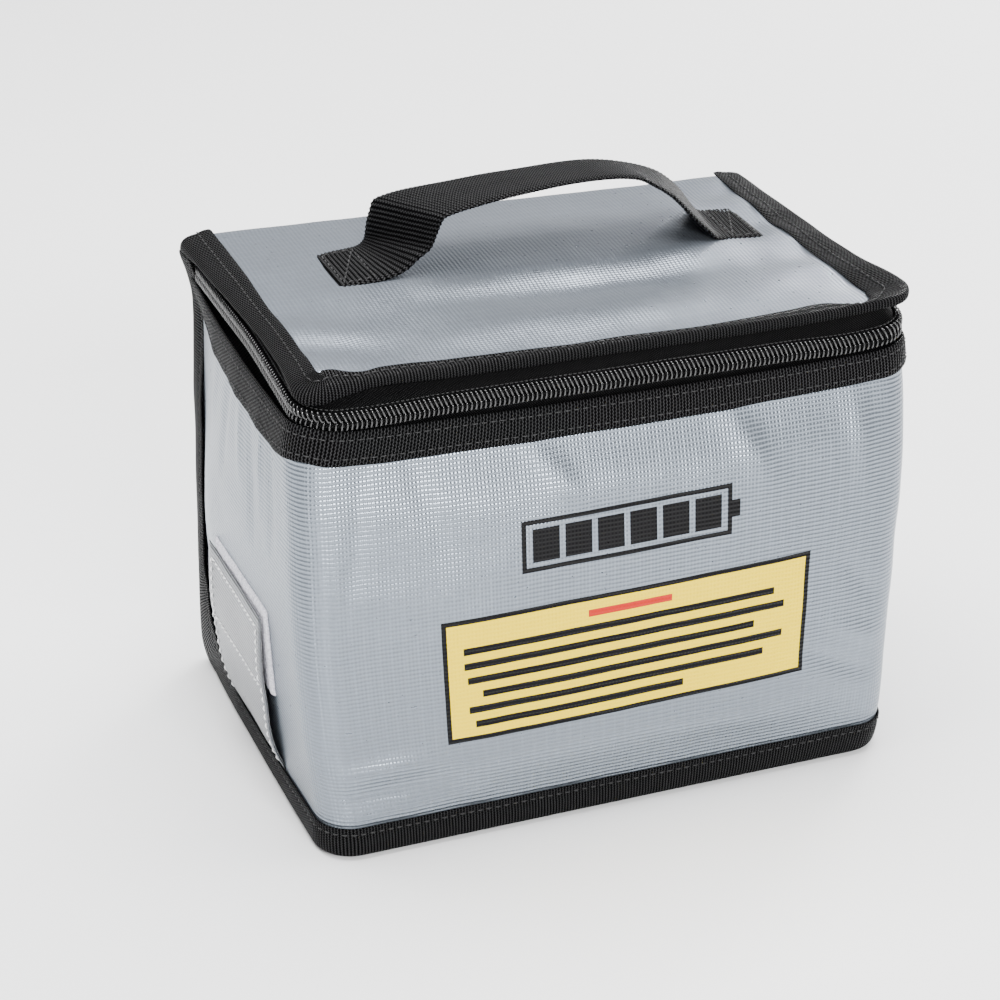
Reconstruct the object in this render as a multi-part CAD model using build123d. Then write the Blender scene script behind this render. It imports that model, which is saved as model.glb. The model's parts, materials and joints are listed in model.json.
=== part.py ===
from build123d import *
import os

# Soft box-shaped safe bag for batteries, in millimetres. +Z is up, the front faces -Y and +X is the right-hand
# side of someone who looks at the front. The origin is the centre of the underside.
# One strip of coated fabric makes the left side, the front and the right side, with rounded front edges.
# Lid, back and base follow each other round the rear, and a zip closes the lid on the other three sides.

# Outer face of the wrap: half width and front plane at the base, at the belly and from the rim up
base_half_width, base_front = 102.5, -72.5
belly_height, belly_half_width, belly_front = 75.0, 109.0, -69.5
rim_height, rim_half_width, rim_front = 140.0, 108.5, -61.0
rear = 71.0
corner_radius = 12.0
wrap_top = 150.5
back_top = 162.4
back_neck_inset = 1.2
back_lining_inset, back_lining_drop = 1.0, 0.4

# Thicknesses of the sewn materials
fabric = 0.8
lining = 0.6
tape = 1.2
webbing = 1.5
lined_wall = fabric + lining

# Seam binding: bottom leaf height, upright leaf width, and how far it folds round the edges
binding_height = 11.0
binding_width = 9.0
binding_fold = 3.0
binding_top = 157.0

# Rim band and zip
band_low, band_thickness = 139.5, 1.4
zip_tape_low = 143.0
coil_height, coil_depth = 2.8, 2.5
coil_low = 153.4
coil_gap = 1.6
zip_rear = rear - 1.1
coil_rear, upper_coil_right_rear = 61.0, 46.5
zip_tape_excess = 0.2
shelf_level = 162.4
shelf_width = 10.0

# Lid: its binding stands out as an eave, and its panel is slightly crowned
lid_inset = 2.0
lid_binding_width = 11.0
lid_binding_low, lid_binding_high = 163.2, 166.2
lid_edge_top = 165.2
lid_crown = 2.8
lid_rear = 70.4
plateau_half_width, plateau_front, plateau_rear = 92.0, -30.0, 52.0
lid_top = lid_edge_top + lid_crown

# Handle: a flat strap with two sewn ends and a standing arch that leans to the rear
strap_width = 30.0
handle_y = 23.0
left_end, left_foot = -69.0, -41.0
right_foot, right_end = 72.0, 88.0
arch_lean = 10.0
foot_lift, foot_half_width, foot_spread = 1.1, 1.2, 1.6
riser_lean, riser_height = 2.5, 15.5
# The arch beyond the riser: places along the lid with their heights above the foot, and the bend radii
arch_places = [(-10.0, 18.7), (25.0, 19.2), (50.0, 14.5), (66.0, 7.0)]
arch_radii = [4.0, 12.0, 12.0, 12.0, 6.0]

# Cable port: a slot in the left wall behind a flap that hinges at its lower edge
slot_width, slot_low, slot_high = 40.0, 20.0, 32.0
flap_half_width = 30.5
flap_low, flap_bend, flap_high = 12.0, 43.0, 71.0
flap_low_x, flap_bend_x, flap_high_x = -104.6, -109.3, -111.4
pad_half_width, pad_low, pad_high, pad_thickness = 28.0, 43.0, 73.0, 1.2
hook_half_width, hook_low, hook_high, hook_thickness = 27.0, 43.5, 67.0, 1.0

# Zip slider and pull, on the right side at the rear end of the zip
slider_y, slider_length, slider_height = 54.0, 14.0, 9.2
slider_plate, slider_flange = 1.2, 0.7
slider_play, slider_gap = 0.9, 0.6
slider_rounding, slider_setback = 2.0, 1.0
bridge_thickness, bridge_length = 0.8, 3.0
lug_length, lug_rise, lug_bar, lug_width = 8.0, 2.2, 0.8, 2.0
pin_radius, pull_length, pull_width, pull_thickness = 0.7, 27.0, 7.0, 1.2
arm_length, arm_play = 6.0, 0.4
tip_rounding, slot_margin, slot_end, slot_half = 2.5, 3.0, 14.0, 1.0

# Levels and planes that follow from the sizes above
tape_face = rim_half_width - fabric
coil_meeting = coil_low + coil_height
upper_coil_low = coil_meeting + coil_gap
slider_level = coil_meeting + coil_gap / 2


def block(x_low, x_high, y_low, y_high, z_low, z_high):
    """Box given by its limits."""
    size = (x_high - x_low, y_high - y_low, z_high - z_low)
    centre = ((x_low + x_high) / 2, (y_low + y_high) / 2, (z_low + z_high) / 2)
    return Pos(*centre) * Box(*size)


def outline(half_width, front, back, radius, height):
    """Plan outline with two square rear corners, and front ones that are rounded where a radius is left."""
    corners = [(-half_width, back), (-half_width, front), (half_width, front), (half_width, back)]
    face = make_face(Polyline(*corners, close=True))
    if radius > 0:
        face = fillet(face.vertices().sort_by(Axis.Y)[:2], radius)
    return Pos(0, 0, height) * face


def bag_form(inset, back, low, high):
    """The bag's outer form moved in by inset and ended at the plane y=back, between two heights."""
    stations = [
        (0, base_half_width, base_front),
        (belly_height, belly_half_width, belly_front),
        (rim_height, rim_half_width, rim_front),
        (rim_height + 40, rim_half_width, rim_front),
    ]
    radius = corner_radius - inset
    faces = [outline(half - inset, front + inset, back, radius, z) for z, half, front in stations]
    return loft(faces, ruled=True) & block(-200, 200, -200, 200, low, high)


def three_sided(outer_inset, inner_inset, back, low, high):
    """Layer of the wall that runs left, front and right and is open at the rear."""
    return bag_form(outer_inset, back, low, high) - bag_form(inner_inset, back + 20, low, high)


def side_sheet(points, thickness, half_width):
    """Sheet that follows points (x, z) up the left side and is thickened outwards, along -X."""
    outside = [(x - thickness, z) for x, z in reversed(points)]
    profile = make_face(Polyline(*points, *outside, close=True))
    return extrude(Plane.XZ.offset(-half_width) * profile, amount=2 * half_width)


def left_wall_x(height):
    """X of the left wall's outer face below the belly."""
    return -(base_half_width + (belly_half_width - base_half_width) * height / belly_height)


def crowned_sheet(half_width, front, edge_top, thickness):
    """Rectangular sheet that rises from its edges to a flat plateau."""
    rise = edge_top + lid_crown
    middle = (front + lid_rear) / 2
    edge = Pos(0, middle, edge_top) * Rectangle(2 * half_width, lid_rear - front)
    plateau_size = (2 * plateau_half_width, plateau_rear - plateau_front)
    plateau = Pos(0, (plateau_front + plateau_rear) / 2, rise) * Rectangle(*plateau_size)
    skirt = block(-half_width, half_width, front, lid_rear, edge_top - thickness, edge_top)
    mound = skirt + loft([edge, plateau], ruled=True)
    return mound - Pos(0, 0, -thickness) * mound


def port_slot():
    """Cutter for the cable slot through the left wall."""
    return block(-120, -90, -slot_width / 2, slot_width / 2, slot_low, slot_high)


def outer_wrap():
    return three_sided(0, fabric, rear - fabric, tape, wrap_top) - port_slot()


def wrap_lining():
    return three_sided(fabric, lined_wall, rear - lined_wall, tape, zip_tape_low) - port_slot()


def back_panel():
    """Back, as wide as the wrap, and narrower above it where the zip tape of the lid passes."""
    panel = bag_form(0, rear, tape, wrap_top) & block(-200, 200, rear - fabric, rear, 0, wrap_top)
    neck = tape_face - back_neck_inset
    return panel + block(-neck, neck, rear - fabric, rear, wrap_top, back_top)


def back_lining():
    layer = block(-200, 200, rear - lined_wall, rear - fabric, 0, 200)
    return bag_form(lined_wall + back_lining_inset, rear, tape + lining, back_top - back_lining_drop) & layer


def base_panel():
    return bag_form(binding_fold, rear, 0, tape)


def base_lining():
    return bag_form(fabric, rear - fabric, tape, tape + lining) - three_sided(
        fabric, lined_wall, rear - lined_wall, tape, tape + lining
    )


def seam_binding():
    """Tape down the rear left edge, round the bottom and up the rear right edge, folded over each edge."""
    sleeve = bag_form(-tape, rear + tape, 0, binding_top) - bag_form(0, rear, 0, binding_top + 1)
    leaves = block(-200, 200, -200, rear - binding_width, 0, binding_height)
    leaves += block(-200, 200, rear - binding_width, rear + tape, 0, binding_top)
    fold_space = bag_form(binding_fold, rear + 20, 0, binding_top + 1)
    underside = bag_form(0, rear, 0, tape) - fold_space
    return (sleeve & leaves) - fold_space + underside


def rim_band():
    return three_sided(-band_thickness, 0, rear - binding_width, band_low, wrap_top)


def zip_tape_lower():
    return three_sided(fabric, lined_wall + zip_tape_excess, zip_rear, zip_tape_low, coil_meeting)


def coil_row(low):
    """One row of the coil, drawn as a plain band on the outside of its tape."""
    return three_sided(fabric - coil_depth, fabric, coil_rear, low, low + coil_height)


def zip_coil_upper():
    """Upper row, which stops ahead of the closed slider, so that the lid can swing clear of it."""
    return coil_row(upper_coil_low) - block(0, 200, upper_coil_right_rear, 200, 0, 200)


def zip_tape_upper():
    """Upright leaf with the coil, and a shelf that runs in under the lid's binding."""
    leaf = three_sided(fabric, lined_wall + zip_tape_excess, zip_rear, upper_coil_low, shelf_level)
    shelf = three_sided(fabric, shelf_width, zip_rear, shelf_level, lid_binding_low)
    return leaf + shelf


def lid_binding():
    inner_inset = lid_inset + lid_binding_width
    return three_sided(lid_inset, inner_inset, lid_rear, lid_binding_low, lid_binding_high)


def lid_panel():
    edge = lid_inset + lid_binding_width
    return crowned_sheet(rim_half_width - edge, rim_front + edge, lid_edge_top, fabric)


def lid_lining():
    edge = lid_inset + lid_binding_width
    return crowned_sheet(rim_half_width - edge, rim_front + edge, lid_edge_top - fabric, lining)


def handle_end(x_low, x_high):
    """End of the strap, sewn flat on the lid."""
    y_low, y_high = handle_y - strap_width / 2, handle_y + strap_width / 2
    return block(x_low, x_high, y_low, y_high, lid_top, lid_top + webbing)


def handle_strap():
    """Standing arch. Each foot narrows to a neck, so that the arch can lean without meeting the lid."""
    foot_level = lid_top + webbing
    foot = foot_level + foot_lift
    route = [
        (left_foot, foot),
        (left_foot - riser_lean, foot + riser_height),
        *[(x, foot + height) for x, height in arch_places],
        (right_foot, foot),
    ]
    path = FilletPolyline(*route, radius=arch_radii)
    arch = extrude(Plane.XZ * trace(path, webbing), amount=strap_width / 2, both=True)
    half = strap_width / 2
    shoulder = foot + (half - foot_half_width) / foot_spread
    shape = make_face(Polyline(
        (-foot_half_width, foot), (foot_half_width, foot), (half, shoulder),
        (half, foot + 60), (-half, foot + 60), (-half, shoulder), close=True,
    ))
    arch &= extrude(Plane.YZ * shape, amount=150, both=True)
    lean = Pos(0, handle_y, foot_level) * Rot(-arch_lean, 0, 0) * Pos(0, 0, -foot_level)
    return lean * arch


def flap_line(depth):
    """Points of the flap's inner face, moved out by depth."""
    places = [(flap_low_x, flap_low), (flap_bend_x, flap_bend), (flap_high_x, flap_high)]
    return [(x - depth, z) for x, z in places]


def port_flap_backing():
    return side_sheet(flap_line(0), lining, flap_half_width)


def port_flap():
    return side_sheet(flap_line(lining), fabric, flap_half_width)


def port_hook_tape():
    slope = (flap_high_x - flap_bend_x) / (flap_high - flap_bend)
    places = [(flap_bend_x + slope * (z - flap_bend) + hook_thickness, z) for z in (hook_low, hook_high)]
    return side_sheet(places, hook_thickness, hook_half_width)


def port_loop_pad():
    places = [(left_wall_x(z), z) for z in (pad_low, pad_high)]
    return side_sheet(places, pad_thickness, pad_half_width)


def zip_slider():
    """Two plates either side of the zip, joined by a bridge between the coil rows, and a lug for the pull."""
    y_low, y_high = slider_y - slider_length / 2, slider_y + slider_length / 2
    z_low, z_high = slider_level - slider_height / 2, slider_level + slider_height / 2
    inner_high = tape_face - fabric - slider_play
    outer_low = tape_face + coil_depth + slider_gap
    outer_high = outer_low + slider_plate
    slider = block(outer_low, outer_high, y_low, y_high, z_low, z_high)
    slider += block(
        inner_high - slider_plate, inner_high, y_low, y_high, z_low + slider_setback, z_high - slider_setback
    )
    slider = fillet(slider.edges().filter_by(Axis.X), slider_rounding)
    slider += block(
        inner_high, outer_low, y_high - slider_setback - bridge_length, y_high - slider_setback,
        slider_level - bridge_thickness / 2, slider_level + bridge_thickness / 2,
    )
    for low in (z_low, z_high - slider_flange):
        slider += block(
            tape_face + slider_play, outer_low, y_low + slider_rounding, y_high - slider_rounding,
            low, low + slider_flange,
        )
    lug_span = (slider_y - lug_length / 2, slider_y + lug_length / 2)
    lug_levels = (slider_level - lug_width / 2, slider_level + lug_width / 2)
    lug = block(outer_high, outer_high + lug_rise + lug_bar, *lug_span, *lug_levels)
    hollow = (lug_span[0] + lug_bar, lug_span[1] - lug_bar)
    return slider + lug - block(outer_high, outer_high + lug_rise, *hollow, *lug_levels)


def zip_pull():
    """Pin through the slider's lug, two arms and a flat tab with a slot, lying forwards along the zip."""
    pin_x = tape_face + coil_depth + slider_gap + slider_plate + lug_rise / 2
    half = pull_width / 2
    pull = Pos(pin_x, slider_y, slider_level) * Cylinder(pin_radius, pull_width)
    arm_gap = lug_width / 2 + arm_play
    x_low, x_high = pin_x - pull_thickness / 2, pin_x + pull_thickness / 2
    tab_high = slider_y - arm_length
    pull += block(x_low, x_high, slider_y - pull_length, tab_high, slider_level - half, slider_level + half)
    for side in (-1, 1):
        limits = sorted((slider_level + side * arm_gap, slider_level + side * half))
        pull += block(x_low, x_high, tab_high, slider_y, *limits)
    tip = pull.edges().filter_by(Axis.X).group_by(Axis.Y)[0]
    pull = fillet(tip, tip_rounding)
    return pull - block(
        x_low, x_high, slider_y - pull_length + slot_margin, slider_y - slot_end,
        slider_level - slot_half, slider_level + slot_half,
    )


nodes = {
    "outer_wrap": outer_wrap(),
    "wrap_lining": wrap_lining(),
    "back_panel": back_panel(),
    "back_lining": back_lining(),
    "base_panel": base_panel(),
    "base_lining": base_lining(),
    "seam_binding": seam_binding(),
    "rim_band": rim_band(),
    "zip_tape_lower": zip_tape_lower(),
    "zip_coil_lower": coil_row(coil_low),
    "zip_tape_upper": zip_tape_upper(),
    "zip_coil_upper": zip_coil_upper(),
    "lid_panel": lid_panel(),
    "lid_lining": lid_lining(),
    "lid_binding": lid_binding(),
    "handle_end_left": handle_end(left_end, left_foot - 1),
    "handle_end_right": handle_end(right_foot + 1, right_end),
    "handle_strap": handle_strap(),
    "port_flap": port_flap(),
    "port_flap_backing": port_flap_backing(),
    "port_hook_tape": port_hook_tape(),
    "port_loop_pad": port_loop_pad(),
    "zip_slider": zip_slider(),
    "zip_pull": zip_pull(),
}

os.makedirs("parts", exist_ok=True)
for name, shape in nodes.items():
    export_step(shape, f"parts/{name}.step")
    size = shape.bounding_box()
    print(f"{name:20s} {shape.volume / 1000:8.2f} cm3  {size.min}  {size.max}")
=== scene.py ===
import json
import math

import bpy
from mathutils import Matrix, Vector, noise

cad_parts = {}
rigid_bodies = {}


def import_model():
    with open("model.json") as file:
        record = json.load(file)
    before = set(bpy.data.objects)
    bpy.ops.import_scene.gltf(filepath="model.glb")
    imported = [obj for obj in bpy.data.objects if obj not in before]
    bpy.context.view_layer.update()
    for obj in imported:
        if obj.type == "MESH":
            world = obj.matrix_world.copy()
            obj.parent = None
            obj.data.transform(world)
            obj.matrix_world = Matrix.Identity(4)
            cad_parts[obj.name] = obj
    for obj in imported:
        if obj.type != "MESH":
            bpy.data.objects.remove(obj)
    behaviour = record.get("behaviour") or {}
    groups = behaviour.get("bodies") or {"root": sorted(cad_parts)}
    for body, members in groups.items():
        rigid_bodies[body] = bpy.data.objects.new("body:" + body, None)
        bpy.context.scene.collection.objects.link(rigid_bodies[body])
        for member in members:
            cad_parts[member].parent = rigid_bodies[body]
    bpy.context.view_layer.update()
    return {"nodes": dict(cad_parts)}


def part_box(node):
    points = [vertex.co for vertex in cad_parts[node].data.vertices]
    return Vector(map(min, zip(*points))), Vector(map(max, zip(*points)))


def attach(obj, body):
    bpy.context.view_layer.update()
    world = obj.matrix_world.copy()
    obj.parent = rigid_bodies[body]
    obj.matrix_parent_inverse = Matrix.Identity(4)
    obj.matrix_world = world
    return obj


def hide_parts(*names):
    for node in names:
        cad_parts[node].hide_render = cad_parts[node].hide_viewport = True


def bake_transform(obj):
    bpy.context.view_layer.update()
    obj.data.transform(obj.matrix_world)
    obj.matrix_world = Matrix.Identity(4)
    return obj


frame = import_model()

# Everything below is worked out in millimetres and turned into metres when a mesh is made.
TO_METRES = 0.001
UP = Vector((0, 0, 1))


def limits(node):
    """Lowest and highest corner of a CAD node, in millimetres."""
    low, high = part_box(node)
    return low / TO_METRES, high / TO_METRES


wrap_top = limits("outer_wrap")[1].z
tape_low, tape_high = limits("zip_tape_lower")
coil_rear = limits("zip_coil_lower")[1].y
slider_front = limits("zip_slider")[0].y
rear = limits("back_panel")[1].y
flap_low, flap_high = limits("port_flap")
pad_low, pad_high = limits("port_loop_pad")
hook_low, hook_high = limits("port_hook_tape")

# The rim of the wrap stands outside the zip tape by the cloth's thickness
CLOTH_THICK, LINING_THICK = 0.8, 0.5
rim_half = tape_high.x + CLOTH_THICK
rim_front = tape_low.y - CLOTH_THICK

# Plan of the wrap, measured along its strip from the middle of the front: flat front, round corner, flat side
CORNER = 12.0
FRONT_RUN = rim_half - CORNER
CORNER_RUN = CORNER * math.pi / 2
SIDE_RUN = rear - rim_front - CORNER
STRIP = FRONT_RUN + CORNER_RUN + SIDE_RUN
# How far the wrap stops below its CAD top, and how far the pieces round it stop short of the strip's ends
WRAP_DROP = 3.2
WRAP_GAP, LINING_GAP, BAND_GAP, TAPE_GAP = 0.4, 1.5, 4.6, 1.6


# ---------------------------------------------------------------- small mathematics

def mix(a, b, t):
    return a + (b - a) * t


def ease(t):
    t = min(max(t, 0.0), 1.0)
    return t * t * (3 - 2 * t)


def hill(x, centre, width):
    return math.exp(-((x - centre) / width) ** 2)


def steps(low, high, count):
    return [low + (high - low) * i / count for i in range(count + 1)]


def merge(*lists):
    """Sorted values of several lists, without repeats."""
    out = []
    for value in sorted(v for values in lists for v in values):
        if not out or value - out[-1] > 0.05:
            out.append(value)
    return out


def through(stations, x):
    """Smooth curve through (x, value) stations, with values that may be numbers or vectors."""
    if x <= stations[0][0]:
        return stations[0][1]
    if x >= stations[-1][0]:
        return stations[-1][1]
    i = max(k for k in range(len(stations) - 1) if stations[k][0] <= x)
    (x0, v0), (x1, v1) = stations[i], stations[i + 1]
    before = stations[i - 1] if i else stations[i]
    after = stations[i + 2] if i + 2 < len(stations) else stations[i + 1]
    slope0 = (v1 - before[1]) / (x1 - before[0])
    slope1 = (after[1] - v0) / (after[0] - x0)
    h = x1 - x0
    t = (x - x0) / h
    return (
        v0 * (2 * t**3 - 3 * t**2 + 1) + slope0 * (h * (t**3 - 2 * t**2 + t))
        + v1 * (3 * t**2 - 2 * t**3) + slope1 * (h * (t**3 - t**2))
    )


def running_lengths(points):
    """Distance of each point from the first, along the line through them."""
    lengths = [0.0]
    for a, b in zip(points, points[1:]):
        lengths.append(lengths[-1] + (b - a).length)
    return lengths


def wobble(x, y, seed, size):
    """Smooth noise in -1..1 with features about `size` across."""
    return noise.noise(Vector((x / size, y / size, seed * 7.31)))


# ---------------------------------------------------------------- meshes

def make_object(name, points, faces, uvs, material):
    mesh = bpy.data.meshes.new(name)
    mesh.from_pydata([tuple(Vector(p) * TO_METRES) for p in points], [], faces)
    layer = mesh.uv_layers.new(name="cloth")
    for loop in mesh.loops:
        layer.data[loop.index].uv = uvs[loop.vertex_index]
    mesh.materials.append(material)
    for polygon in mesh.polygons:
        polygon.use_smooth = True
    mesh.validate()
    obj = bpy.data.objects.new(name, mesh)
    bpy.context.scene.collection.objects.link(obj)
    return obj


def grid(name, rows, material, loop=False, skip=None, uvs=None, caps=False):
    """Quad sheet through rows of points. `loop` closes each row, `caps` closes the two ends of a looped one,
    and `skip` names the cells that are left open."""
    height, width = len(rows), len(rows[0])
    points = [p for row in rows for p in row]
    if uvs is None:
        across = running_lengths(rows[height // 2])
        uvs = [(u, v) for u in running_lengths([row[width // 2] for row in rows]) for v in across]
    faces = []
    for i in range(height - 1):
        for j in range(width if loop else width - 1):
            k = (j + 1) % width
            if skip and skip(i, j):
                continue
            faces.append((i * width + j, i * width + k, (i + 1) * width + k, (i + 1) * width + j))
    if caps:
        faces.append(tuple(range(width - 1, -1, -1)))
        faces.append(tuple((height - 1) * width + j for j in range(width)))
    return make_object(name, points, faces, uvs, material)


def join(name, objects):
    """One object out of several new ones."""
    for obj in bpy.context.scene.objects:
        obj.select_set(obj in objects)
    bpy.context.view_layer.objects.active = objects[0]
    bpy.ops.object.join()
    objects[0].name = name
    objects[0].data.name = name
    return objects[0]


def thicken(obj, thickness):
    """Gives a sheet its thickness in millimetres, on the side that its normals turn away from."""
    modifier = obj.modifiers.new("thickness", "SOLIDIFY")
    modifier.thickness = thickness * TO_METRES
    modifier.offset = -1.0
    modifier.use_even_offset = False
    return obj


def soften(obj):
    """Rounds a mesh with one level of subdivision."""
    modifier = obj.modifiers.new("smooth", "SUBSURF")
    modifier.levels = 1
    modifier.render_levels = 1


def section_sweep(name, stations, section, material):
    """Sweeps a closed section along stations of (outer point, inner point, normal).
    The section's points are (fraction from outer to inner, millimetres along the normal)."""
    rows = []
    for outer, inner, normal in stations:
        rows.append([outer + (inner - outer) * w + normal * n for w, n in section])
    width = (stations[0][1] - stations[0][0]).length
    places = running_lengths([(outer + inner) / 2 for outer, inner, _ in stations])
    uvs = [(u, w * width) for u in places for w, _ in section]
    return grid(name, rows, material, loop=True, uvs=uvs, caps=True)


def stitches(name, points, normals, material, length=2.3, gap=0.9, radius=0.28, sink=0.08):
    """A row of thread stitches: short sunk-ended beads laid end to end along a line of points."""
    distances = running_lengths(points)

    def place(distance):
        """Point and normal at a distance along the line."""
        low, high = 0, len(distances) - 1
        while high - low > 1:
            k = (low + high) // 2
            if distances[k] <= distance:
                low = k
            else:
                high = k
        part = (distance - distances[low]) / max(distances[low + 1] - distances[low], 1e-9)
        return points[low].lerp(points[low + 1], part), normals[low].lerp(normals[low + 1], part).normalized()

    verts, faces, uvs = [], [], []
    rings, sides = 6, 6
    count = int(distances[-1] / (length + gap))
    spare = (distances[-1] - count * (length + gap)) / 2
    for n in range(count):
        begin = spare + n * (length + gap)
        base = len(verts)
        for r in range(rings + 1):
            t = r / rings
            centre, normal = place(begin + t * length)
            ahead, _ = place(min(begin + t * length + 0.2, distances[-1]))
            behind, _ = place(max(begin + t * length - 0.2, 0.0))
            direction = (ahead - behind).normalized()
            side = direction.cross(normal).normalized()
            swell = math.sin(math.pi * (0.12 + 0.76 * t)) ** 0.5
            lift = radius * (1.5 * math.sin(math.pi * t) - 0.75) - sink
            for k in range(sides):
                angle = 2 * math.pi * k / sides
                offset = side * math.cos(angle) + normal * math.sin(angle)
                verts.append(centre + normal * lift + offset * radius * swell)
                uvs.append((begin + t * length, k))
        for r in range(rings):
            for k in range(sides):
                a, b = base + r * sides + k, base + r * sides + (k + 1) % sides
                faces.append((a, b, b + sides, a + sides))
        faces.append(tuple(base + k for k in range(sides - 1, -1, -1)))
        faces.append(tuple(base + rings * sides + k for k in range(sides)))
    return make_object(name, verts, faces, uvs, material)


# ---------------------------------------------------------------- materials

class Nodes:
    """Short names for building a node material."""

    def __init__(self, name):
        self.material = bpy.data.materials.new(name)
        self.material.use_nodes = True
        self.tree = self.material.node_tree
        self.shader = self.tree.nodes["Principled BSDF"]

    def node(self, kind, **settings):
        made = self.tree.nodes.new(kind)
        for key, value in settings.items():
            setattr(made, key, value)
        return made

    def link(self, source, target):
        self.tree.links.new(source, target)

    def put(self, value, socket):
        if isinstance(value, (int, float)):
            socket.default_value = value
        else:
            self.link(value, socket)

    def math(self, operation, *values):
        made = self.node("ShaderNodeMath", operation=operation)
        for value, socket in zip(values, made.inputs):
            self.put(value, socket)
        return made.outputs[0]

    def cloth(self):
        """The two cloth coordinates, in millimetres along and across the piece."""
        uv = self.node("ShaderNodeUVMap", uv_map="cloth")
        split = self.node("ShaderNodeSeparateXYZ")
        self.link(uv.outputs[0], split.inputs[0])
        return split.outputs[0], split.outputs[1]

    def vector(self, x, y):
        made = self.node("ShaderNodeCombineXYZ")
        self.put(x, made.inputs[0])
        self.put(y, made.inputs[1])
        return made.outputs[0]

    def wave(self, coordinate, pitch, shift=0.0):
        """0..1 cosine wave."""
        angle = self.math("MULTIPLY_ADD", coordinate, 2 * math.pi / pitch, shift)
        return self.math("MULTIPLY_ADD", self.math("COSINE", angle), 0.5, 0.5)

    def noise(self, vector, scale, detail=2.0, rough=0.5):
        made = self.node("ShaderNodeTexNoise")
        self.link(vector, made.inputs["Vector"])
        made.inputs["Scale"].default_value = scale
        made.inputs["Detail"].default_value = detail
        made.inputs["Roughness"].default_value = rough
        return made.outputs["Fac"]

    def blend(self, factor, first, second):
        """Colour mix: `first` where the factor is 0, `second` where it is 1."""
        made = self.node("ShaderNodeMix", data_type="RGBA")
        self.put(factor, made.inputs[0])
        for value, socket in ((first, made.inputs[6]), (second, made.inputs[7])):
            if isinstance(value, tuple):
                socket.default_value = (*value, 1.0)
            else:
                self.link(value, socket)
        return made.outputs[2]

    def between(self, value, low, high):
        made = self.node("ShaderNodeMapRange")
        self.link(value, made.inputs[0])
        made.inputs["To Min"].default_value = low
        made.inputs["To Max"].default_value = high
        return made.outputs[0]

    def bump(self, height, distance):
        """Relief of the shading; distance is the millimetres from the lowest point to the highest."""
        made = self.node("ShaderNodeBump")
        made.inputs["Distance"].default_value = distance * TO_METRES
        made.inputs["Strength"].default_value = 1.0
        self.link(height, made.inputs["Height"])
        self.link(made.outputs[0], self.shader.inputs["Normal"])

    def set(self, **values):
        for key, value in values.items():
            self.shader.inputs[key.replace("_", " ")].default_value = value


def silver_fabric(name, ridges_across, pitch=1.48, print_on_it=False, tint=(0.222, 0.252, 0.290),
                  relief=0.16):
    """Aluminium coated glass-fibre weave: fine ridges one way, fainter warp lines the other way."""
    n = Nodes(name)
    along, across = n.cloth()
    ridge_coordinate, warp_coordinate = (across, along) if ridges_across else (along, across)
    drift = n.noise(n.vector(along, across), 0.045, 3.0)
    ridge_place = n.math("MULTIPLY_ADD", drift, 1.2, ridge_coordinate)
    ridges = n.wave(ridge_place, pitch)
    warp = n.math("POWER", n.wave(n.math("MULTIPLY_ADD", drift, 3.0, warp_coordinate), 4.3), 6.0)
    fine = n.wave(warp_coordinate, 1.27)
    grain = n.noise(n.vector(along, across), 0.35, 2.0, 0.5)
    height = n.math("MULTIPLY_ADD", fine, 0.45, ridges)
    height = n.math("MULTIPLY_ADD", warp, 0.10, height)
    n.bump(height, relief)
    cloud = n.noise(n.vector(along, across), 0.018, 2.0)
    # Painted light: the colour is lighter on the ridge crests and warp lines as a painted highlight, and
    # darker in the grooves between them as painted shade.
    light = tuple(min(c * 1.08, 1.0) for c in tint)
    dark = tuple(c * 0.86 for c in tint)
    colour = n.blend(n.math("MULTIPLY_ADD", ridges, 0.75, n.math("MULTIPLY", warp, 0.25)), dark, light)
    colour = n.blend(n.between(cloud, 0.0, 0.25), colour, tuple(c * 0.8 for c in tint))
    if print_on_it:
        colour, ink = front_print(n, along, across, colour, ridges)
        n.link(n.math("MULTIPLY_ADD", ink, -0.85, 0.85), n.shader.inputs["Metallic"])
    else:
        n.set(Metallic=0.85)
    n.link(colour, n.shader.inputs["Base Color"])
    n.link(n.between(grain, 0.25, 0.33), n.shader.inputs["Roughness"])
    n.set(Specular_IOR_Level=0.12)
    return n.material


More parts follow.
